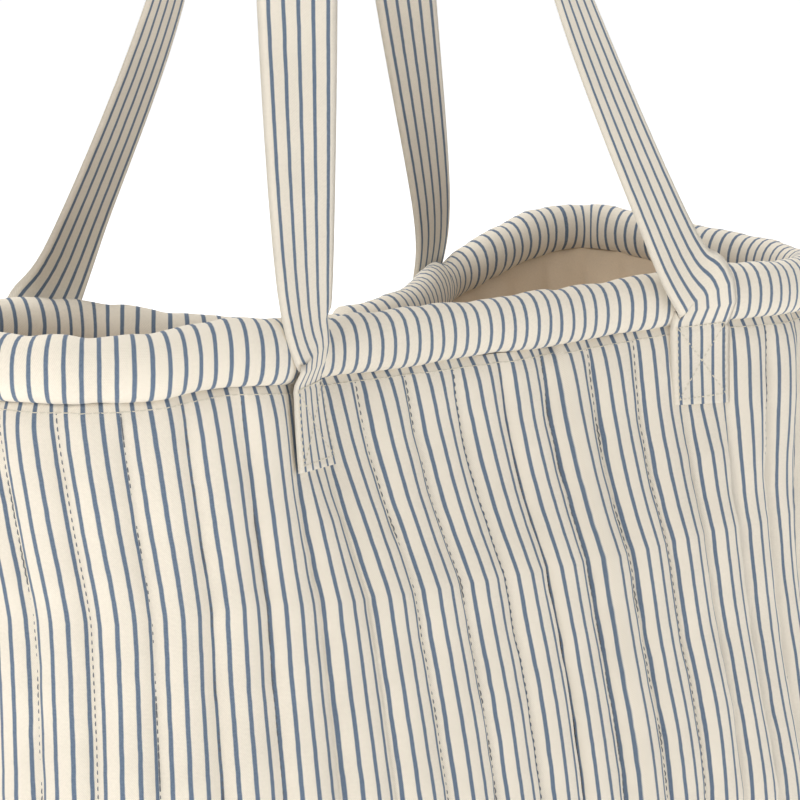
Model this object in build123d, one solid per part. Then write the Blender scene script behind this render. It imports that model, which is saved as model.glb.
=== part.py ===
from build123d import *
import os
from math import cos, hypot, radians, sin

# Quilted laundry bag, open at the top, with two long flat handles.  Millimetres, +Z up, front is -Y.
# The origin is at the middle of the base, on the surface that the bag stands on.

# Driving dimensions
hem_top = 410            # height of the mouth
hem_line = 384           # the row of stitches under the rolled hem
mouth_w, mouth_d = 450, 170
belly_w, belly_d, belly_z = 436, 270, 190
base_w, base_d = 404, 225
corner_r = 60
back_bow = 42            # the back edge of the mouth bends in between its handle feet
bow_half = 95            # half the width of that bend, which ends at the feet
shell_t, wadding_t, lining_t = 1.2, 5.0, 1.0
gap = 0.2                # clear space between layers
base_gap = 0.6           # between the base and the foot of the walls
channel = 25             # spacing of the quilting lines
strap_w, strap_t = 34, 3.0
foot_x, foot_len = 112, 37    # middle of a handle foot from the centre, and its sewn length
handle_rise = 400        # top of a handle above the hem line
handle_off = 7.0         # hinge line outside the wall line
ply_t = 1.4              # one of a strap's two plies

os.makedirs("parts", exist_ok=True)

# The wall line by height: z, width, depth, bend of the back edge
levels = [
    (0, base_w, base_d, 0),
    (belly_z, belly_w, belly_d, 4),
    (300, 442, 230, 18),
    (hem_line + 0.6, mouth_w, mouth_d, back_bow),
    (hem_top + 1, mouth_w, mouth_d, back_bow),
]
flat_x = (foot_x - strap_w / 2, foot_x + strap_w / 2)
rows_each_side = 4       # quilting rows between the middle and a foot
row_x = [(i + 0.5) * channel for i in range(-rows_each_side, rows_each_side)]
front_x = [-flat_x[1], -flat_x[0]] + row_x + [flat_x[0], flat_x[1]]
arc_steps = 3


def bend_in(x, bow):
    """How far the back edge lies inside the straight line at x."""
    return bow * cos(radians(90 * x / bow_half)) ** 2 if abs(x) < bow_half else 0


def level_at(z):
    """Width, depth and bend of the wall line at a height."""
    for low, high in zip(levels, levels[1:]):
        if z <= high[0]:
            f = (z - low[0]) / (high[0] - low[0])
            return [a + (b - a) * f for a, b in zip(low[1:], high[1:])]
    return list(levels[-1][1:])


def wall_line(z):
    """Corners of the wall line, from the left side seam round the front and back to it."""
    w, d, bow = level_at(z)
    half_w, half_d, r = w / 2, d / 2, corner_r
    quarter = [(half_w - r + r * sin(radians(90 * k / arc_steps)),
                half_d - r + r * cos(radians(90 * k / arc_steps))) for k in range(arc_steps + 1)]
    front = [(-half_w, 0)] + [(-x, -y) for x, y in quarter[::-1]]
    front += [(x, -half_d) for x in front_x] + [(x, -y) for x, y in quarter] + [(half_w, 0)]
    back = [(x, -y - bend_in(x, bow)) for x, y in front[::-1]]
    return front + back[1:-1]


seam_at = 2 * (arc_steps + 1) + len(front_x) + 1     # the right side seam's place in the line
corner_count = 2 * seam_at


def corner(i, inset, z):
    """One corner of the wall line, moved inwards by inset."""
    line = wall_line(z)
    before, here, after = (line[(i + k) % corner_count] for k in (-1, 0, 1))
    sides = []
    for (x0, y0), (x1, y1) in ((before, here), (here, after)):
        length = hypot(x1 - x0, y1 - y0)
        sides.append((-(y1 - y0) / length, (x1 - x0) / length))
    nx, ny = sides[0][0] + sides[1][0], sides[0][1] + sides[1][1]
    scale = 2 * inset / (nx * nx + ny * ny)
    return Vector(here[0] + nx * scale, here[1] + ny * scale, z)


def skin_round(rings, closed=False):
    """A closed solid through rings of corners, in flat triangles; closed joins the last to the first.

    A ring's first half runs one way along one face and its second half comes back along the other,
    and the triangles of both faces slant alike, so that layers with a small gap stay apart.
    """
    n = len(rings[0])
    pairs = list(zip(rings, rings[1:]))
    faces = []
    if closed:
        pairs.append((rings[-1], rings[0]))
    else:
        for ring in (rings[0], rings[-1]):
            halves_of = [(0, 1, 2), (0, 2, 3)] if n == 4 else [range(n)]
            faces += [Face(Wire.make_polygon([ring[k] for k in part])) for part in halves_of]
    for low, high in pairs:
        for i in range(n):
            j = (i + 1) % n
            a, b = (low[i], high[j]) if i < n / 2 else (high[i], low[j])
            c, d = (low[j], high[i]) if i < n / 2 else (low[i], high[j])
            faces.append(Face(Wire.make_polygon([a, c, b])))
            faces.append(Face(Wire.make_polygon([a, b, d])))
    body = Solid(Shell(faces))
    return body if body.volume > 0 else Solid(-Shell(faces))


def sweep_round(section, places=None):
    """Sweeps a section of (inset, z) corners along the wall line, right round where no places are given."""
    span = range(corner_count) if places is None else places
    return skin_round([[corner(i, inset, z) for inset, z in section] for i in span],
                      closed=places is None)


def sleeve_section(outer, inner, z_low, z_high):
    heights = [z_low] + [row[0] for row in levels if z_low + 2 < row[0] < z_high - 2] + [z_high]
    return [(outer, z) for z in heights] + [(inner, z) for z in reversed(heights)]


def save(name, shape):
    shape.label = name
    export_step(shape, "parts/" + name + ".step")
    print(name, round(shape.volume), shape.is_valid)


# Layers of every quilted piece, from the outside in
stack = {}
depth_in = 0
for name, thick in (("shell", shell_t), ("wadding", wadding_t), ("lining", lining_t)):
    stack[name] = (depth_in, depth_in + thick)
    depth_in += thick + gap
wall_t = depth_in - gap
wall_low, wall_high = wall_t + base_gap, hem_line + 0.6

# Walls: a front and a back panel, sewn together at the side seams
halves = {"front": range(seam_at + 1), "back": range(seam_at, corner_count + 1)}
seam_clear = 0.1


def clear_of_seam(solid, side):
    """Moves a panel off the plane of the side seams, so that the two panels stay apart."""
    return Pos(0, -seam_clear if side == "front" else seam_clear, 0) * solid


for name, (outer, inner) in stack.items():
    section = sleeve_section(outer, inner, wall_low, wall_high)
    for side, places in halves.items():
        save(side + "_" + name, clear_of_seam(sweep_round(section, places), side))

# Base: the same three layers laid flat
base_line = [Vector(x, y) for x, y in wall_line(0)]
for name, (low, high) in stack.items():
    outline = Face(Wire.make_polygon([Vector(p.X, p.Y, low) for p in base_line]))
    save("base_" + name, Solid.extrude(outline, Vector(0, 0, high - low)))

# Binding over the seam where the lining meets the base
save("base_seam_binding", sweep_round(sleeve_section(wall_t + 0.4, wall_t + 1.8, wall_low, wall_low + 12)))

# Tape over each side seam, inside: from one corner of the line to the next, past the seam
tape_half = 7
for side, sign in (("left", -1), ("right", 1)):
    rings = []
    for y in (-tape_half, tape_half):
        ring = []
        for inset, z in sleeve_section(wall_t + 0.4, wall_t + 1.2, wall_low + 16, wall_high - 6):
            ring.append(Vector(sign * (level_at(z)[0] / 2 - inset), y, z))
        rings.append(ring)
    save(side + "_seam_tape", skin_round(rings))

# Rolled hem: a folded cover round its padding
hem_low = hem_line + 1.2
roll = [(0.5, hem_low), (-3.5, hem_low + 6), (-4, hem_low + 13), (-1.5, hem_top - 3), (2, hem_top),
        (wall_t - 1, hem_top), (11, hem_top - 4), (12, hem_low + 12), (10.5, hem_low + 5), (wall_t, hem_low)]


def shrunk(section, by):
    """A section of (inset, z) corners pulled in towards its middle."""
    mid_in = sum(c[0] for c in section) / len(section)
    mid_z = sum(c[1] for c in section) / len(section)
    out = []
    for inset, z in section:
        reach = hypot(inset - mid_in, z - mid_z)
        out.append((inset + (mid_in - inset) * by / reach, z + (mid_z - z) * by / reach))
    return out


outer_rings = [[corner(i, a, z) for a, z in roll] for i in range(corner_count)]
hollow = shrunk(roll, shell_t + 0.4)
inner_rings = [[corner(i, a, z) for a, z in hollow] for i in range(corner_count)]
save("hem_cover", skin_round(outer_rings, closed=True) - skin_round(inner_rings, closed=True))
save("hem_padding", sweep_round(shrunk(roll, shell_t + 1.2)))

# Row of stitches just under the hem
save("hem_topstitching", sweep_round(sleeve_section(-0.9, -0.3, hem_line - 0.3, hem_line + 0.5)))


def on_wall(x, side, inset, z):
    """A point over the front or back wall at x."""
    w, d, bow = level_at(z)
    line = [(a, d / 2 - (bend_in(a, bow) if side > 0 else 0)) for a in front_x]
    line = [(-(w / 2 - corner_r), line[0][1])] + line + [(w / 2 - corner_r, line[-1][1])]
    for (x0, y0), (x1, y1) in zip(line, line[1:]):
        if x <= x1:
            break
    return Vector(x, side * (y0 + (y1 - y0) * (x - x0) / (x1 - x0) - inset), z)


# Quilting stitches: one row of thread on the outside of each panel at every channel edge
thread = 0.8
for side_name, side in (("front", -1), ("back", 1)):
    group = []
    for x in row_x:
        rings = [[on_wall(x + a, side, inset, z) for a, inset in
                  ((-thread / 2, -0.4), (thread / 2, -0.4), (thread / 2, -0.9), (-thread / 2, -0.9))]
                 for z in (wall_low + 4, belly_z, 300, hem_line - 3)]
        group.append(skin_round(rings))
    save(side_name + "_quilting_stitches", Compound(children=group))

# Handle feet: the strap's end sewn flat below the hem, with a box and a cross of stitches
foot_clear = 0.5
foot_low, foot_high = hem_line - foot_len, hem_line - 1.5
stitch_margin = 4


def plate(corners, side, inner, outer):
    """A thin piece over the wall: (x, z) corners, between two distances outside it."""
    return skin_round([[on_wall(x, side, -inner, z) for x, z in corners],
                       [on_wall(x, side, -outer, z) for x, z in corners]])


def thread_bar(x0, z0, x1, z1):
    """Corners of a straight run of thread."""
    length = hypot(x1 - x0, z1 - z0)
    a, b = (z1 - z0) / length * thread / 2, -(x1 - x0) / length * thread / 2
    return [(x0 - a, z0 - b), (x1 - a, z1 - b), (x1 + a, z1 + b), (x0 + a, z0 + b)]


for side_name, side in (("front", -1), ("back", 1)):
    stitched = []
    for end, sign in (("left", -1), ("right", 1)):
        x0, x1 = sign * foot_x - strap_w / 2 + 0.01, sign * foot_x + strap_w / 2 - 0.01
        corners = [(x0, foot_low), (x1, foot_low), (x1, foot_high), (x0, foot_high)]
        save(side_name + "_handle_" + end + "_foot", plate(corners, side, foot_clear, foot_clear + strap_t))
        left, right = x0 + stitch_margin, x1 - stitch_margin
        low, high = foot_low + stitch_margin, foot_high - stitch_margin
        face = foot_clear + strap_t + 0.3
        clear = 1.6
        runs = [(left, low, right, low), (left, high, right, high),
                (left, low + clear, left, high - clear), (right, low + clear, right, high - clear)]
        runs += [(left + clear, low + clear, right - clear, high - clear)]
        mid_x, mid_z = (left + right) / 2, (low + high) / 2
        runs += [(left + clear, high - clear, mid_x - clear, mid_z + clear),
                 (mid_x + clear, mid_z - clear, right - clear, low + clear)]
        stitched += [plate(thread_bar(*run), side, face, face + 0.5) for run in runs]
    save(side_name + "_handle_foot_stitches", Compound(children=stitched))

# Handles: one long strap each, turning from flat on the panel to edge-on at the top.
# Each row: x, how far in from the hinge line, height above the hem line, turn of the width
front_route = [(-foot_x, 0, 0, 0), (-foot_x + 1, 1, 40, -10), (-foot_x + 7, 22, 150, -58),
               (-86, 46, 270, -80), (-66, 62, 350, -88), (-38, 68, handle_rise, -90),
               (-12, 62, 352, -92), (24, 46, 265, -110), (65, 22, 150, -148),
               (foot_x - 11, 1, 40, -174), (foot_x, 0, 0, -180)]
back_route = [(-foot_x, 0, 0, 0), (-foot_x + 9, 1, 40, -6), (-74, 22, 150, -22),
              (-50, 46, 270, -66), (-37, 62, 352, -86), (-13, 68, handle_rise, -90),
              (12, 62, 352, -94), (34, 46, 270, -112), (70, 22, 150, -150),
              (foot_x - 9, 1, 40, -172), (foot_x, 0, 0, -180)]
sections_per_span = 2


def strap_rings(route, side, low_face, high_face):
    """Corners of one ply along a route, between two distances off the strap's middle surface."""
    y_foot = side * (mouth_d / 2 + handle_off)
    points = [Vector(x, y_foot - side * inward, hem_line + 0.6 + up) for x, inward, up, _ in route]
    path = Spline(points, tangents=[(0, 0, 1), (0, 0, -1)])
    knots = [path.param_at_point(p) for p in points]
    rings = []
    for i in range((len(route) - 1) * sections_per_span + 1):
        span = min(i // sections_per_span, len(route) - 2)
        f = i / sections_per_span - span
        u = knots[span] + (knots[span + 1] - knots[span]) * f
        turn = radians(route[span][3] + (route[span + 1][3] - route[span][3]) * f)
        place, along = path.position_at(u), path.tangent_at(u)
        across = Vector(cos(turn), -side * sin(turn), 0)
        across = (across - along * across.dot(along)).normalized()
        out = along.cross(across)
        half = strap_w / 2
        corners = ((-half, low_face), (half, low_face), (half, high_face), (-half, high_face))
        rings.append([place + across * a + out * b for a, b in corners])
    return rings


mid = gap / 2
for name, route, side in (("front", front_route, -1), ("back", back_route, 1)):
    for ply, way in (("outer", side), ("inner", -side)):
        rings = strap_rings(route, side, way * mid, way * (mid + ply_t))
        save(name + "_handle_" + ply + "_ply", skin_round(rings))
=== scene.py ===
from bisect import bisect
from math import cos, exp, floor, hypot, pi, radians, sin, sqrt

import bmesh
import bpy
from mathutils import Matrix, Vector, noise


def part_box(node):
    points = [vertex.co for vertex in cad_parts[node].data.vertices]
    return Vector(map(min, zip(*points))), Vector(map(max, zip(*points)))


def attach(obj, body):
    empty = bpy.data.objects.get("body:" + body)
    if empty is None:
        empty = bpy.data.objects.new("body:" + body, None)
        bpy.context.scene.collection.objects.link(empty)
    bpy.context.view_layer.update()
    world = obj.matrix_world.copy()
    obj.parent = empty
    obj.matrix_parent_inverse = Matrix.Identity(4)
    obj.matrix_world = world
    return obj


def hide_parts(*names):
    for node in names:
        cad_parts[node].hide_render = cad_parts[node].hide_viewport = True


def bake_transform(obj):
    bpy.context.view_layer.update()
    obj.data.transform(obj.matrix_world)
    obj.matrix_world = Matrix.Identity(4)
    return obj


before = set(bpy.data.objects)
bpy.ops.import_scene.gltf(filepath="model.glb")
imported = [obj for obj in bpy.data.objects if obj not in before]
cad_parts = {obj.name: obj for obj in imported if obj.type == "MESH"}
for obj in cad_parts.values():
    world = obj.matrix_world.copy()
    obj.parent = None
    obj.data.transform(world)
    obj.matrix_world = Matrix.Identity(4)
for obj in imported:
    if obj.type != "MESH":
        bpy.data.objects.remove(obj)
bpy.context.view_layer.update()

# Quilted striped laundry bag.  Metres, front is -Y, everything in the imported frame.

mm = 0.001
stripes = {"wall": 6.5 * mm, "strap": 6.3 * mm}
channel = 25 * mm

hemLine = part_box("hem_topstitching")[1][2]      # height of the stitches under the hem
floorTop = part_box("base_lining")[1][2]
footLow = hemLine - 0.034


view = {"azimuth": -43, "elevation": 9.3, "distance": 2.1, "lens": 225,
        "right": 0.011, "down": 0.0277}


def makeCamera():
    a, e = radians(view["azimuth"]), radians(view["elevation"])
    back = Vector((sin(a) * cos(e), -cos(a) * cos(e), sin(e)))
    right = Vector((cos(a), sin(a), 0))
    up = back.cross(right)
    target = Vector((0, 0, hemLine)) + right * view["right"] - up * view["down"]
    data = bpy.data.cameras.new("camera")
    data.lens, data.sensor_width = view["lens"], 36
    data.clip_end = 50
    cam = bpy.data.objects.new("camera", data)
    cam.location = target + back * view["distance"]
    cam.rotation_euler = back.to_track_quat("Z", "Y").to_euler()
    bpy.context.scene.collection.objects.link(cam)
    bpy.context.scene.camera = cam


def makeLight(name, place, target, size, watts, tint):
    data = bpy.data.lights.new(name, "AREA")
    data.shape, data.size, data.energy, data.color = "DISK", size, watts, tint
    lamp = bpy.data.objects.new(name, data)
    lamp.location = place
    lamp.rotation_euler = (Vector(place) - Vector(target)).to_track_quat("Z", "Y").to_euler()
    bpy.context.scene.collection.objects.link(lamp)


def toLinear(hexColor):
    rgb = [int(hexColor[i:i + 2], 16) / 255 for i in (1, 3, 5)]
    return [c / 12.92 if c <= 0.04045 else ((c + 0.055) / 1.055) ** 2.4 for c in rgb] + [1.0]


def addNode(tree, kind, settings=None, links=None):
    node = tree.nodes.new(kind)
    for name, value in (settings or {}).items():
        if isinstance(name, int) or name in node.inputs:
            node.inputs[name].default_value = value
        else:
            setattr(node, name, value)
    for name, source in (links or {}).items():
        tree.links.new(source, node.inputs[name])
    return node


def newMaterial(name, rough, sheen=0.0):
    mat = bpy.data.materials.new(name)
    mat.use_nodes = True
    tree = mat.node_tree
    shader = tree.nodes["Principled BSDF"]
    shader.inputs["Roughness"].default_value = rough
    shader.inputs["Sheen Weight"].default_value = sheen
    shader.inputs["Sheen Roughness"].default_value = 0.5
    shader.inputs["Specular IOR Level"].default_value = 0.25
    return mat, tree, shader


makeCamera()
makeLight("keyLight", (-3.0, -0.9, 2.3), (0, 0, 0.35), 1.5, 42, (1, 0.985, 0.96))
makeLight("fillLight", (1.4, -3.0, 1.2), (0, 0, 0.35), 2.6, 8, (1, 1, 1))
makeLight("topLight", (0.3, 0.8, 3.2), (0, 0, 0.4), 2.2, 46, (1, 1, 1))
makeLight("backLight", (1.5, 3.2, 2.4), (0, 0, 0.35), 2.4, 24, (1, 1, 1))
world = bpy.data.worlds.new("paleRoom")
world.use_nodes = True
world.node_tree.nodes["Background"].inputs[0].default_value = toLinear("#F6F6F6")
world.node_tree.nodes["Background"].inputs[1].default_value = 0.44
bpy.context.scene.world = world
bpy.context.scene.view_settings.view_transform = "Standard"

floorMat, floorTree, floorShader = newMaterial("paleFloor", 0.9)
floorShader.inputs["Base Color"].default_value = toLinear("#F7F7F7")
floorShader.inputs["Specular IOR Level"].default_value = 0.0
floorShader.inputs["Emission Color"].default_value = toLinear("#FFFFFF")
floorShader.inputs["Emission Strength"].default_value = 0.62      # a lit sweep, white far off too
bm = bmesh.new()
bmesh.ops.create_grid(bm, x_segments=1, y_segments=1, size=14)
floorMesh = bpy.data.meshes.new("floor")
bm.to_mesh(floorMesh)
bm.free()
floorMesh.materials.append(floorMat)
floorObj = bpy.data.objects.new("floor", floorMesh)
bpy.context.scene.collection.objects.link(floorObj)
print("stage: camera, lights and floor")


# the wall is a closed curve at each height, and the cloth is laid on it by its share of the way round
def smoothLoop(points, per=14):
    # a closed curve through the points, rounded evenly
    n, out = len(points), []
    for i in range(n):
        p0, p1, p2, p3 = (Vector(points[(i + k) % n]) for k in (-1, 0, 1, 2))
        for k in range(per):
            t = k / per
            out.append(0.5 * ((2 * p1) + (p2 - p0) * t + (2 * p0 - 5 * p1 + 4 * p2 - p3) * t * t
                              + (3 * p1 - p0 - 3 * p2 + p3) * t ** 3))
    return out


def roundedLoop(w, d, square, count=180):
    out = []
    for i in range(count):
        t = 2 * pi * i / count - pi / 2
        c, s = cos(t), sin(t)
        out.append(Vector((w / 2 * abs(c) ** (2 / square) * (1 if c > 0 else -1),
                           d / 2 * abs(s) ** (2 / square) * (1 if s > 0 else -1))))
    return out


# corners of the mouth, from the front's middle round to the right, in mm
mouthPoints = [(0, -74), (50, -76), (95, -81), (118, -83), (160, -82), (200, -66), (219, -25), (221, 30),
               (216, 78), (190, 92), (150, 89), (112, 80), (72, 52), (28, 28), (-15, 26), (-58, 46),
               (-92, 74), (-118, 84), (-160, 92), (-200, 84), (-224, 46), (-227, 0), (-218, -42),
               (-190, -70), (-160, -80), (-137, -86), (-120, -83), (-104, -75), (-90, -71), (-55, -72)]
sections = [(hemLine, smoothLoop([(x * mm, y * mm) for x, y in mouthPoints])),
            (0.300, roundedLoop(0.446, 0.206, 3.0)),
            (0.190, roundedLoop(0.436, 0.256, 2.8)),
            (0.080, roundedLoop(0.414, 0.246, 3.2)),
            (0.0, roundedLoop(0.398, 0.218, 3.6))]


class Loop:
    # a closed line that is asked for its point at a share of its length, 0 at the front's middle
    def __init__(self, points):
        self.points = points + [points[0]]
        self.along = [0.0]
        for a, b in zip(self.points, self.points[1:]):
            self.along.append(self.along[-1] + (b - a).length)
        self.length = self.along[-1]
        self.start = min((abs(p.x) + (1 if p.y > 0 else 0), s) for p, s in zip(self.points, self.along))[1]

    def at(self, share):
        s = (self.start + share * self.length) % self.length
        k = min(max(bisect(self.along, s) - 1, 0), len(self.points) - 2)
        f = (s - self.along[k]) / (self.along[k + 1] - self.along[k])
        return self.points[k].lerp(self.points[k + 1], f)


loops = [(z, Loop(points)) for z, points in sections]
# just under the hem the wall still follows the mouth
under = [loops[0][1].at(i / 240).lerp(loops[1][1].at(i / 240), 0.30) for i in range(240)]
loops.insert(1, (0.345, Loop(under)))
girth = loops[0][1].length
channels = round(girth / channel)
girth = channels * channel              # the cloth's own width, a whole number of channels
print("stage: wall line, girth", round(girth, 3), "channels", channels)


def heightWeights(z):
    # how much of each section counts at a height, smooth in between
    zs = [row[0] for row in loops]
    if z >= zs[0]:
        return [1.0] + [0.0] * (len(zs) - 1)
    k = 0
    while k < len(zs) - 2 and z < zs[k + 1]:
        k += 1
    f = min((zs[k] - z) / (zs[k] - zs[k + 1]), 1.0)
    weights = [0.0] * len(zs)
    ks = (max(k - 1, 0), k, k + 1, min(k + 2, len(zs) - 1))
    basis = (0.5 * (-f + 2 * f ** 2 - f ** 3), 0.5 * (2 - 5 * f ** 2 + 3 * f ** 3),
             0.5 * (f + 4 * f ** 2 - 3 * f ** 3), 0.5 * (-f ** 2 + f ** 3))
    for i, b in zip(ks, basis):
        weights[i] += b
    return weights


def wallPoint(share, z):
    weights = heightWeights(z)
    p = Vector((0, 0))
    for w, (_, loop) in zip(weights, loops):
        if w:
            p += loop.at(share) * w
    return p


def wallFrame(share, z):
    # place, way along the cloth and way out of the bag, all level
    a, b = wallPoint(share - 0.001, z), wallPoint(share + 0.001, z)
    along = (b - a).normalized()
    return (a + b) / 2, along, Vector((along.y, -along.x))


def shareAtX(x, front):
    # the share of the mouth line where it passes x
    loop = loops[0][1]
    best = None
    for i in range(2400):
        share = i / 2400
        p = loop.at(share)
        if (p.y < 0) == front:
            miss = abs(p.x - x)
            if best is None or miss < best[0]:
                best = (miss, share)
    return best[1]


def bump(x, width):
    return exp(-(x / width) ** 2)


def wrap(x):
    return (x + 0.5) % 1.0 - 0.5


def rough(share, z, size, seed):
    # even noise on the cloth that joins up round the bag
    a = 2 * pi * share
    r = girth / (2 * pi * size)
    return noise.noise(Vector((cos(a) * r + seed * 7.3, sin(a) * r - seed * 3.1, z / size + seed)))


feet = {name: shareAtX(x * mm, front) for name, x, front in
        (("frontLeft", -109, True), ("frontRight", 110, True),
         ("backLeft", -112, False), ("backRight", 112, False))}
seamShare = shareAtX(34 * mm, True)       # the upright join in the front panel
backSeamShare = shareAtX(196 * mm, False)

mouthSag = [  # share, width of the dip, rise in mm
    (shareAtX(0, False), 0.10, -17), (feet["backRight"], 0.045, -5),
    (shareAtX(-150 * mm, True), 0.025, 4), (feet["frontRight"], 0.04, 3),
    (shareAtX(200 * mm, False), 0.06, 8)]


def mouthLift(share):
    return sum(rise * mm * bump(wrap(share - at), width) for at, width, rise in mouthSag)


def quilt(share, z, height, pinch=1.0):
    # the puff of one channel between its two rows of stitches, and the puckers beside them
    c = share * girth / channel
    inside = c - floor(c)
    puff = (sin(pi * inside)) ** 0.7 if 0 < inside < 1 else 0.0
    number = floor(c)
    fullness = 1.0 + 0.22 * noise.noise(Vector((number * 3.7, z / 0.11, 2.0)))
    edge = min(inside, 1 - inside)
    pucker = noise.noise(Vector((number * 5.1 + inside * 2.0, z / 0.011, share * 3))) * bump(edge, 0.28)
    return height * puff * fullness + 0.9 * mm * pucker * pinch


wall = {"columns": 10, "rows": 96, "puff": 4.5 * mm, "seamRise": 2.2 * mm}
arcs = [0.0]
for i in range(40):
    rise = (sin(pi * (i + 1) / 40) ** 0.7 if i < 39 else 0.0) - sin(pi * i / 40) ** 0.7
    arcs.append(arcs[-1] + hypot(channel / 40, wall["puff"] * rise))
arcs = [a / arcs[-1] for a in arcs]


def wallRelief(share, z):
    below = hemLine - z
    d = quilt(share, z, wall["puff"])
    d *= 1 - exp(-below / 0.012)
    d += 3.4 * mm * rough(share, z, 0.12, 1) + 1.3 * mm * rough(share, z, 0.045, 2)
    gather = rough(share, 0, 0.0085, 3) * exp(-below / 0.020)
    gather += 0.7 * rough(share, z * 0.3, 0.016, 4) * exp(-below / 0.045)
    d += 1.7 * mm * gather
    d -= 2.6 * mm * exp(-below / 0.0035)          # pulled in at the stitches
    s = wrap(share - seamShare) * girth
    if s > 0:
        d += wall["seamRise"] * exp(-s / 0.010) * min(1, s / 0.0012)
    else:
        d -= wall["seamRise"] * 0.9 * exp(s / 0.008)
    for foot in feet.values():
        near = wrap(share - foot) * girth
        if abs(near) < 0.05 and z > footLow - 0.03:
            press = bump(near, 0.020) * min(1, max(0, (z - footLow + 0.02) / 0.02))
            d = d * (1 - 0.9 * press)
    return d


def gridSheet(columns, rows, place, uvAt, flip=False):
    # a grid rolled up round the bag: place(share, t) gives the point, uvAt(share, t) the cloth
    sheet = bmesh.new()
    bmesh.ops.create_grid(sheet, x_segments=columns, y_segments=rows, size=1)
    layer = sheet.loops.layers.uv.new("cloth")
    for face in sheet.faces:
        for corner in face.loops:
            x, y = corner.vert.co.x, corner.vert.co.y
            corner[layer].uv = uvAt((x + 1) / 2, (y + 1) / 2)
    for vert in sheet.verts:
        vert.co = place((vert.co.x + 1) / 2, (vert.co.y + 1) / 2)
    bmesh.ops.remove_doubles(sheet, verts=sheet.verts, dist=1e-6)
    if flip:
        bmesh.ops.reverse_faces(sheet, faces=sheet.faces)
    for face in sheet.faces:
        face.smooth = True
    return sheet


def finishPiece(name, sheet, material):
    mesh = bpy.data.meshes.new(name)
    sheet.to_mesh(mesh)
    sheet.free()
    mesh.materials.append(material)
    obj = bpy.data.objects.new(name, mesh)
    bpy.context.scene.collection.objects.link(obj)
    print("piece", name, len(mesh.polygons))
    return obj


def addWeave(tree, uv, shader, yarn, strength, low, high, color):
    # twill: fine slanting ribs, with slubs and a faint cloudiness; the ribs darken and lighten the colour
    # as painted shade besides their bump, while the slubs and the cloudiness are the yarn's own uneven tone
    sep = addNode(tree, "ShaderNodeSeparateXYZ", links={0: uv})
    slant = addNode(tree, "ShaderNodeMath", {"operation": "MULTIPLY_ADD", 1: 0.62},
                    {0: sep.outputs[1], 2: sep.outputs[0]})
    ribs = addNode(tree, "ShaderNodeMath", {"operation": "MULTIPLY", 1: 2 * pi / yarn},
                   {0: slant.outputs[0]})
    wave = addNode(tree, "ShaderNodeMath", {"operation": "SINE"}, {0: ribs.outputs[0]})
    thread = addNode(tree, "ShaderNodeTexNoise", {"Scale": 1 / (1.1 * mm), "Detail": 2.0}, {"Vector": uv})
    cloud = addNode(tree, "ShaderNodeTexNoise", {"Scale": 1 / (28 * mm), "Detail": 3.0}, {"Vector": uv})
    mixed = addNode(tree, "ShaderNodeMath", {"operation": "MULTIPLY_ADD", 1: 0.35},
                    {0: wave.outputs[0], 2: thread.outputs[0]})
    # painted shade of the ribs, with the slubs' own tone, as a scale on the colour
    ribShadeAndSlubTone = addNode(tree, "ShaderNodeMapRange",
                    {"From Min": 0.0, "From Max": 1.0, "To Min": low, "To Max": high},
                    {0: mixed.outputs[0]})
    cloudTone = addNode(tree, "ShaderNodeMapRange",
                         {"From Min": 0.3, "From Max": 0.7, "To Min": 0.96, "To Max": 1.03},
                         {0: cloud.outputs[0]})
    both = addNode(tree, "ShaderNodeMath", {"operation": "MULTIPLY"},
                   {0: ribShadeAndSlubTone.outputs[0], 1: cloudTone.outputs[0]})
    tinted = addNode(tree, "ShaderNodeVectorMath", {"operation": "SCALE"},
                     {0: color, "Scale": both.outputs[0]})
    tree.links.new(tinted.outputs[0], shader.inputs["Base Color"])
    relief = addNode(tree, "ShaderNodeBump", {"Strength": strength, "Distance": 0.25 * mm},
                     {"Height": mixed.outputs[0]})
    tree.links.new(relief.outputs[0], shader.inputs["Normal"])


# cotton twill, woven with thin indigo stripes: matt, with a soft edge light; the ribs are drawn
# 0.72 mm apart, coarser than the real 0.4 mm, so that they show
def stripedTwill(name, pitch, width):
    mat, tree, shader = newMaterial(name, 0.86, 0.12)
    uv = addNode(tree, "ShaderNodeUVMap", {"uv_map": "cloth"}).outputs[0]
    sep = addNode(tree, "ShaderNodeSeparateXYZ", links={0: uv})
    wander = addNode(tree, "ShaderNodeTexNoise", {"Scale": 1 / (9 * mm), "Detail": 2.0}, {"Vector": uv})
    wandered = addNode(tree, "ShaderNodeMath", {"operation": "MULTIPLY_ADD", 1: 0.5 * mm},
                       {0: wander.outputs[0], 2: sep.outputs[0]})
    counted = addNode(tree, "ShaderNodeMath",
                      {"operation": "MULTIPLY_ADD", 1: 1 / pitch, 2: 0.5 - 0.25 * mm / pitch},
                      {0: wandered.outputs[0]})
    part = addNode(tree, "ShaderNodeMath", {"operation": "FRACT"}, {0: counted.outputs[0]})
    off = addNode(tree, "ShaderNodeMath", {"operation": "SUBTRACT", 1: 0.5}, {0: part.outputs[0]})
    away = addNode(tree, "ShaderNodeMath", {"operation": "ABSOLUTE"}, {0: off.outputs[0]})
    half = width / 2 / pitch
    mask = addNode(tree, "ShaderNodeMapRange", {"From Min": half * 1.18, "From Max": half * 0.78},
                   {0: away.outputs[0]})
    fleck = addNode(tree, "ShaderNodeTexNoise", {"Scale": 1 / (0.9 * mm), "Detail": 1.0}, {"Vector": uv})
    blue = addNode(tree, "ShaderNodeMix",
                   {"data_type": "RGBA", 6: toLinear("#57687E"), 7: toLinear("#78889B")},
                   {0: fleck.outputs[0]})
    color = addNode(tree, "ShaderNodeMix", {"data_type": "RGBA", 6: toLinear("#EFE6D6")},
                    {0: mask.outputs[0], 7: blue.outputs[2]})
    addWeave(tree, uv, shader, 0.72 * mm, 0.5, 0.90, 1.04, color.outputs[2])
    return mat


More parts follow.
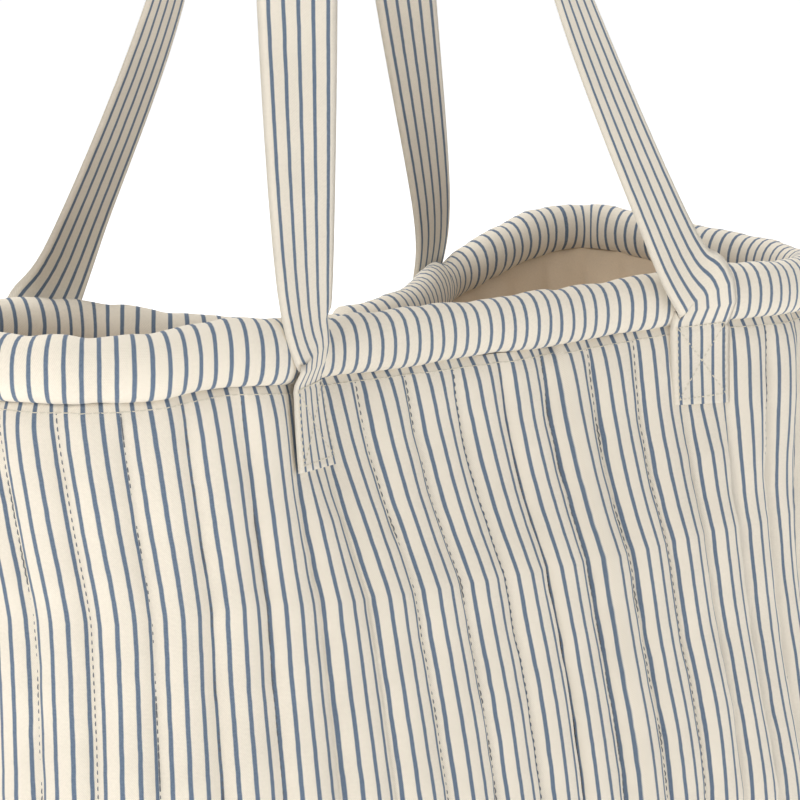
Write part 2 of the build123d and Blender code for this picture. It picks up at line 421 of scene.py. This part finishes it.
# plain-woven cotton, tan, a little duller than the twill and faintly faded in patches
def plainCotton(name, hexColor, fadedColor, yarn):
    mat, tree, shader = newMaterial(name, 0.9, 0.1)
    uv = addNode(tree, "ShaderNodeUVMap", {"uv_map": "cloth"}).outputs[0]
    faded = addNode(tree, "ShaderNodeTexNoise", {"Scale": 1 / (40 * mm), "Detail": 2.0}, {"Vector": uv})
    color = addNode(tree, "ShaderNodeMix",
                    {"data_type": "RGBA", 6: toLinear(hexColor), 7: toLinear(fadedColor)},
                    {0: faded.outputs[0]})
    addWeave(tree, uv, shader, yarn, 0.4, 0.92, 1.04, color.outputs[2])
    return mat


# spun cotton sewing thread: a soft sheen, and painted light and shade where the plies turn, the colour
# moving between itself and a shaded copy
def sewingThread(name, hexColor):
    mat, tree, shader = newMaterial(name, 0.7, 0.2)
    place = addNode(tree, "ShaderNodeTexCoord").outputs["Object"]
    ply = addNode(tree, "ShaderNodeTexNoise", {"Scale": 1 / (0.6 * mm), "Detail": 1.0}, {"Vector": place})
    shaded = [c * 0.8 for c in toLinear(hexColor)[:3]] + [1]
    # painted ply shade: the noise mixes the thread colour with a copy darkened to 0.8
    plyPaintedShade = addNode(tree, "ShaderNodeMix", {"data_type": "RGBA", 6: shaded, 7: toLinear(hexColor)},
                   {0: ply.outputs[0]})
    tree.links.new(plyPaintedShade.outputs[2], shader.inputs["Base Color"])
    return mat


twill = stripedTwill("stripedCottonTwill", girth / round(girth / stripes["wall"]), 1.75 * mm)
strapTwill = stripedTwill("strapCottonTwill", stripes["strap"], 1.7 * mm)
lining = plainCotton("tanCottonLining", "#E4CFB3", "#EAD8C0", 0.6 * mm)
tape = plainCotton("tanCottonTape", "#C9AB8A", "#CFB496", 0.9 * mm)
creamThread = sewingThread("creamSewingThread", "#E4DCCB")
greyThread = sewingThread("greySewingThread", "#6E737B")


cornerRound = 0.016
baseLow = 0.0012
baseShare = 0.14         # the share of the rows that lie under the base


def outerPlace(share, t):
    if t >= baseShare:
        f = (t - baseShare) / (1 - baseShare)
        z = cornerRound + (hemLine + mouthLift(share) - cornerRound) * f
        zFlat = cornerRound + (hemLine - cornerRound) * f
        p, _, out = wallFrame(share, zFlat)
        d = wallRelief(share, zFlat) * min(1, f / 0.05)
        return Vector((p.x + out.x * d, p.y + out.y * d, z))
    f = t / baseShare                    # 1 at the wall, 0 in the middle
    p, _, out = wallFrame(share, 0.0)
    if f > 0.55:
        turn = (1 - f) / 0.45 * pi / 2   # round the bottom edge
        q = p + (wallPoint(share, cornerRound) - p) * cos(turn)
        tuck = cornerRound * (1 - cos(turn))
        return Vector((q.x - out.x * tuck, q.y - out.y * tuck, baseLow + cornerRound * (1 - sin(turn))))
    q = (p - out * cornerRound) * (f / 0.55)
    return Vector((q.x, q.y, baseLow))


def clothAcross(share):
    # the cloth lies evenly over each puff, so its stripes do too
    c = share * girth / channel
    inside = c - floor(c)
    k = min(int(inside * 40), 39)
    return (floor(c) + arcs[k] + (arcs[k + 1] - arcs[k]) * (inside * 40 - k)) * channel


def clothUv(share, t):
    return (clothAcross(share), t * (hemLine + 0.1))


columns = channels * wall["columns"]
shell = finishPiece("quiltedShell", gridSheet(columns, wall["rows"], outerPlace, clothUv), twill)
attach(shell, "bag")
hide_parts("front_shell", "back_shell", "base_shell",
            "front_wadding", "back_wadding", "base_wadding")


hem = {"around": 22, "height": 66 * mm}
# the roll from its outer stitches over the top to its inner stitches: out of the wall line, up; mm
rollProfile = [(-2.2, -0.4), (1.0, 0.6), (3.4, 4), (4.5, 9.5), (4.2, 16), (2.2, 22), (-1.8, 25.4),
               (-6.4, 25.0), (-10.0, 21.2), (-11.8, 15.4), (-11.6, 10), (-10.2, 6), (-8.2, 3.4)]


def openCurve(points, t):
    n = len(points) - 1
    k = min(int(t * n), n - 1)
    f = t * n - k
    p = [Vector(points[min(max(k + i, 0), n)]) for i in (-1, 0, 1, 2)]
    return 0.5 * ((2 * p[1]) + (p[2] - p[0]) * f + (2 * p[0] - 5 * p[1] + 4 * p[2] - p[3]) * f * f
                  + (3 * p[1] - p[0] - 3 * p[2] + p[3]) * f ** 3)


def hemHeight(share):
    # the roll is fuller left of the front's left foot
    if wrap(share) <= -0.3:
        return 0.9
    past = (wrap(share - feet["frontLeft"]) * girth + 0.01) / 0.03
    return 1.02 - 0.13 * min(1, max(0, past))


def hemPlace(share, t):
    p, _, out = wallFrame(share, hemLine)
    q = openCurve(rollProfile, 1 - t) * mm
    full = 1 + 0.10 * rough(share, 0, 0.06, 5) + 0.07 * rough(share, 0, 0.022, 6)
    mid = Vector((-3.5, 12)) * mm
    q = mid + (q - mid) * full
    q.y *= hemHeight(share)
    near = 1 - abs(2 * t - 1)                       # 0 at the two rows of stitches, 1 on top
    grip = (1 - near) ** 3
    q.x += 1.5 * mm * grip * rough(share, 0, 0.0085, 3) * (1 if t > 0.5 else -1)
    q.x += 0.8 * mm * near * rough(share, q.y * 0.5, 0.014, 8)
    q.y += 1.0 * mm * near * rough(share, 0, 0.018, 9)
    q.y -= 0.6 * mm * near * abs(sin(pi * share * girth / channel)) ** 6
    s = wrap(share - seamShare) * girth
    flat = exp(-abs(s - 0.02) / 0.03) if s > 0 else 0
    q.x += (1.3 * exp(-s / 0.008) if s > 0 else -1.6 * exp(s / 0.006)) * mm * near
    q.x -= 1.2 * mm * flat * near
    b = wrap(share - backSeamShare) * girth
    q.x += (1.0 * exp(-b / 0.008) if b > 0 else -1.2 * exp(b / 0.006)) * mm * near
    for name, foot in feet.items():
        s = wrap(share - foot) * girth
        q.x -= (3.0 if "front" in name else 2.2) * mm * bump(s, 0.02) * (1 if q.x > -3.5 * mm else 0) * near
    return Vector((p.x + out.x * q.x, p.y + out.y * q.x, hemLine + mouthLift(share) + q.y))


def hemUv(share, t):
    near = min(1, abs(2 * t - 1) ** 6)
    return (clothAcross(share) * near + share * girth * (1 - near), hemLine + 0.1 + (1 - t) * hem["height"])


roll = finishPiece("rolledHem", gridSheet(columns, hem["around"], hemPlace, hemUv, True), twill)
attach(roll, "bag")
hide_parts("hem_cover", "hem_padding")


liner = {"in": 8.4 * mm, "puff": 3.0 * mm, "rows": 80, "rise": 3.2 * mm}


def liningPlace(share, t):
    floorPart = 0.2
    if t >= floorPart:
        f = (t - floorPart) / (1 - floorPart)
        low = floorTop + 0.012
        zFlat = low + (hemLine + liner["rise"] - low) * f
        z = zFlat + mouthLift(share) * f
        p, _, out = wallFrame(share, zFlat)
        below = hemLine - zFlat
        d = liner["in"] + quilt(share + 0.5 / channels, z, liner["puff"], 0.7) * (1 - exp(-below / 0.01))
        d -= 3.4 * mm * rough(share, zFlat, 0.12, 1) + 1.0 * mm * rough(share, zFlat, 0.05, 11)
        d += 1.0 * mm * rough(share, 0, 0.012, 12) * exp(-below / 0.03)
        return Vector((p.x - out.x * d, p.y - out.y * d, z))
    f = t / floorPart
    p, _, out = wallFrame(share, 0.01)
    q = (p - out * (liner["in"] + 0.012 * (1 - f) ** 2)) * f
    sag = 0.012 * max(0, f - 0.85) / 0.15
    puff = 0.8 * mm * abs(sin(pi * q.x / channel)) * min(1, (1 - f) * 8)
    return Vector((q.x, q.y, floorTop + 0.0005 + puff + sag * f))


inside = finishPiece("quiltedLining", gridSheet(columns, liner["rows"], liningPlace, clothUv, True), lining)
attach(inside, "bag")
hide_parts("front_lining", "back_lining", "base_lining")


def ribbon(stations, profile, closedEnds=True):
    # a flat tube through stations of (place, across, out); profile is (across, out) round the section
    n = len(profile)
    tube = bmesh.new()
    bmesh.ops.create_grid(tube, x_segments=n, y_segments=len(stations) - 1, size=1)
    layer = tube.loops.layers.uv.new("cloth")
    lengths = [0.0]
    for a, b in zip(stations, stations[1:]):
        lengths.append(lengths[-1] + (b[0] - a[0]).length)

    def indexOf(co):
        return round((co.x + 1) / 2 * n), round((co.y + 1) / 2 * (len(stations) - 1))

    for face in tube.faces:
        for corner in face.loops:
            i, k = indexOf(corner.vert.co)
            corner[layer].uv = (profile[i % n][0], lengths[k])
    for vert in tube.verts:
        i, k = indexOf(vert.co)
        place, across, out = stations[k]
        a, b = profile[i % n]
        vert.co = place + across * a + out * b
    bmesh.ops.remove_doubles(tube, verts=tube.verts, dist=1e-7)
    if closedEnds:
        ends = [e for e in tube.edges if e.is_boundary]
        bmesh.ops.holes_fill(tube, edges=ends, sides=0)
    bmesh.ops.recalc_face_normals(tube, faces=tube.faces)
    for face in tube.faces:
        face.smooth = True
    return tube


def flatProfile(width, thick, steps=10):
    # a flattened ring: nearly flat faces and soft folded edges
    out = []
    for side in (1, -1):
        for i in range(steps):
            a = -side * (1 - 2 * i / steps)
            h = sqrt(max(0, 1 - abs(a) ** 7))
            out.append((-a * width / 2 * -1, side * thick / 2 * (0.35 + 0.65 * h) if abs(a) < 1 else 0.0))
    return out


strap = {"width": 34 * mm, "thick": 2.2 * mm, "step": 4 * mm, "clear": 1.1 * mm,
         "overHem": 4.8 * mm}

# x, y, height above the hem line, turn of the width in degrees; mm
frontRoute = [(-114, -84, 40, 8), (-107, -72, 150, -20), (-86, -46, 270, -55), (-66, -30, 350, -80),
              (-38, -24, 399, -90), (-12, -30, 352, -92), (20, -44, 265, -122), (53, -60, 150, -160),
              (92, -84, 40, -174)]
backRoute = [(-94, 82, 40, -8), (-62, 56, 150, -22), (-46, 42, 270, -60), (-37, 30, 352, -86),
             (-13, 24, 399, -90), (12, 30, 352, -94), (40, 42, 270, -128), (74, 62, 150, -174),
             (108, 79, 40, -198)]


def routeCurve(rows, t):
    n = len(rows) - 1
    k = min(int(t), n - 1)
    f = t - k
    p0, p1, p2, p3 = (rows[min(max(k + i, 0), n)] for i in (-1, 0, 1, 2))
    return [0.5 * (2 * b + (c - a) * f + (2 * a - 5 * b + 4 * c - d) * f * f
                   + (3 * b - a - 3 * c + d) * f ** 3) for a, b, c, d in zip(p0, p1, p2, p3)]


def footRows(footName, turned):
    # the sewn part of a leg, from its lower end up to the hem: place and way across
    share = feet[footName]
    rows = []
    for k in range(12):
        f = k / 11
        z = footLow + (hemLine - footLow) * f
        p, along, out = wallFrame(share, z)
        lift = mouthLift(share) * (z / hemLine)
        grow = strap["clear"] + 0.5 * mm * f
        rows.append((Vector((p.x + out.x * grow, p.y + out.y * grow, z + lift)),
                     Vector((along.x, along.y, 0)) * turned))
    return rows


def makeStrap(side, route):
    sign = -1 if side == "front" else 1
    left = footRows(side + "Left", -sign)
    right = footRows(side + "Right", -sign)
    rows = list(left)
    free = []
    for x, y, up, turn in route:
        across = Vector((cos(radians(turn)), -sign * sin(radians(turn)), 0))
        free.append((Vector((x * mm, y * mm, hemLine + up * mm)), across))
    overHem = []
    for name in ("Left", "Right"):
        share = feet[side + name]
        p, along, out = wallFrame(share, hemLine)
        off = strap["overHem"]
        spot = Vector((p.x + out.x * off, p.y + out.y * off, hemLine + 12 * mm + mouthLift(share)))
        overHem.append((spot, Vector((along.x, along.y, 0)) * -sign))
    rows.append(overHem[0])
    rows += free
    rows.append((overHem[1][0], -overHem[1][1]))
    for place, across in reversed(right):
        rows.append((place, -across))
    # an even walk along the whole route
    knots = [tuple(p) + tuple(a) for p, a in rows]
    path = []
    for k in range(len(knots) - 1):
        steps = max(2, round((rows[k + 1][0] - rows[k][0]).length / strap["step"]))
        for i in range(steps):
            path.append(routeCurve(knots, k + i / steps))
    path.append(list(knots[-1]))
    stations = []
    for i, row in enumerate(path):
        before, after = path[max(i - 1, 0)], path[min(i + 1, len(path) - 1)]
        way = (Vector(after[:3]) - Vector(before[:3])).normalized()
        across = Vector(row[3:])
        across = (across - way * across.dot(way)).normalized()
        stations.append((Vector(row[:3]), across, across.cross(way)))
    tube = ribbon(stations, flatProfile(strap["width"], strap["thick"]))
    obj = finishPiece(side + "Strap", tube, strapTwill)
    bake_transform(obj)
    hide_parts(side + "_handle_outer_ply", side + "_handle_inner_ply",
                side + "_handle_left_foot", side + "_handle_right_foot")
    return obj


def insidePoint(share, z, off):
    # a point on the room side of the lining, and the level way into the bag
    p, _, out = wallFrame(share, z)
    d = liner["in"] + quilt(share + 0.5 / channels, z, liner["puff"], 0.7) * 0.6 + 3.4 * mm
    d += off - 3.4 * mm * rough(share, z, 0.12, 1)
    return Vector((p.x - out.x * d, p.y - out.y * d, z)), Vector((-out.x, -out.y, 0))


tapes = {"width": 14 * mm, "thick": 1.4 * mm, "bindingThick": 2.4 * mm}


def makeTape(name, share, node):
    low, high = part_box(node)[0][2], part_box(node)[1][2]
    stations = []
    for k in range(61):
        z = low + (high - low) * k / 60
        place, into = insidePoint(share, z, 0.4 * mm)
        stations.append((place, Vector((into.y, -into.x, 0)), into))
    obj = finishPiece(name, ribbon(stations, flatProfile(tapes["width"], tapes["thick"])), tape)
    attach(obj, "bag")
    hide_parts(node)


def makeBinding():
    low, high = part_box("base_seam_binding")[0][2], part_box("base_seam_binding")[1][2]
    stations = []
    for k in range(241):
        place, into = insidePoint(k / 240, (low + high) / 2, 0.0)
        stations.append((place, Vector((0, 0, 1)), into))
    sheet = ribbon(stations, flatProfile(high - low, tapes["bindingThick"]), closedEnds=False)
    obj = finishPiece("baseSeamBinding", sheet, tape)
    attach(obj, "bag")
    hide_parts("base_seam_binding")


sides = [(wallPoint(i / 400, 0.2).x, i / 400) for i in range(400)]
makeTape("leftSeamTape", min(sides)[1], "left_seam_tape")
makeTape("rightSeamTape", max(sides)[1], "right_seam_tape")
makeBinding()
makeStrap("front", frontRoute)
makeStrap("back", backRoute)
print("stage: straps")


def stitchRuns(name, runs, material, spacing, thick, node):
    # one strand for each run, which dips into the cloth between two stitches; a run is a function of
    # 0..1 that gives a place and the way out of the cloth
    strands = bmesh.new()
    for run, reach in runs:
        rows = max(2, round(reach / spacing)) * 4
        sides = []
        places = [run(k / rows) for k in range(rows + 1)]
        for k, (place, out) in enumerate(places):
            way = (places[min(k + 1, rows)][0] - places[max(k - 1, 0)][0]).normalized()
            out = (out - way * out.dot(way)).normalized()
            dip = (0.35, 0.35, -0.4, -1.1)[k % 4]
            sides.append((place + out * thick * dip, way.cross(out), out))
        made = bmesh.ops.create_grid(strands, x_segments=5, y_segments=rows, size=1)
        for vert in made["verts"]:
            turn = pi * vert.co.x
            place, side, out = sides[round((vert.co.y + 1) / 2 * rows)]
            vert.co = place + side * cos(turn) * thick / 2 + out * sin(turn) * thick * 0.42
    bmesh.ops.remove_doubles(strands, verts=strands.verts, dist=1e-6)
    bmesh.ops.holes_fill(strands, edges=[e for e in strands.edges if e.is_boundary], sides=0)
    bmesh.ops.recalc_face_normals(strands, faces=strands.faces)
    for face in strands.faces:
        face.smooth = True
    obj = finishPiece(name, strands, material)
    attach(obj, "bag")
    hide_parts(*node)
    return obj


def onShell(share, z):
    p, _, out = wallFrame(share, z)
    d = wallRelief(share, z)
    lift = mouthLift(share) * (z - cornerRound) / (hemLine - cornerRound)
    return Vector((p.x + out.x * d, p.y + out.y * d, z + lift)), Vector((out.x, out.y, 0))


def quiltRun(c):
    low, high = 0.02, hemLine - 0.004
    return (lambda f: onShell(c / channels, low + (high - low) * f)), high - low


def hemRun(first, last):
    return (lambda f: onShell(first + (last - first) * f, hemLine - 0.0035)), (last - first) * girth


thread = {"quilt": 3.2 * mm, "hem": 3.0 * mm, "foot": 2.6 * mm, "thick": 0.55 * mm}
quiltRuns = {"front": [], "back": []}
for c in range(channels):
    under = any(abs(wrap(c / channels - foot)) * girth < 0.018 for foot in feet.values())
    if not under:
        isFront = wallPoint(c / channels, hemLine).y < 0.02 and abs(wrap(c / channels)) < 0.25
        quiltRuns["front" if isFront else "back"].append(quiltRun(c))
for side, runs in quiltRuns.items():
    stitchRuns(side + "QuiltStitches", runs, greyThread, thread["quilt"], thread["thick"],
               [side + "_quilting_stitches"])
stitchRuns("hemStitches", [hemRun(0, 1)], creamThread, thread["hem"], 0.45 * mm, ["hem_topstitching"])


def footRun(footName, a, b):
    # a straight run on a foot, from one corner to another in its own width and height
    share = feet[footName]

    def run(f):
        x, up = a[0] + (b[0] - a[0]) * f, a[1] + (b[1] - a[1]) * f
        z = footLow + up
        p, along, out = wallFrame(share, z)
        lift = mouthLift(share) * (z / hemLine)
        off = strap["clear"] + 0.5 * mm * up / (hemLine - footLow) + strap["thick"] / 2
        return (Vector((p.x + along.x * x + out.x * off, p.y + along.y * x + out.y * off, z + lift)),
                Vector((out.x, out.y, 0)))
    return run, hypot(b[0] - a[0], b[1] - a[1])


for side in ("front", "back"):
    runs = []
    for end in ("Left", "Right"):
        w, low, high = strap["width"] / 2 - 3.4 * mm, 3.2 * mm, hemLine - footLow - 1.0 * mm
        square = (((-w, low), (w, low)), ((w, low), (w, high)),
                  ((w, high), (-w, high)), ((-w, high), (-w, low)))
        cross = ((-w, low), (w, high)), ((w, low), (-w, high))
        for a, b in square + cross:
            runs.append(footRun(side + end, a, b))
    stitchRuns(side + "FootStitches", runs, creamThread, thread["foot"], thread["thick"],
               [side + "_handle_foot_stitches"])
print("stage: stitches")
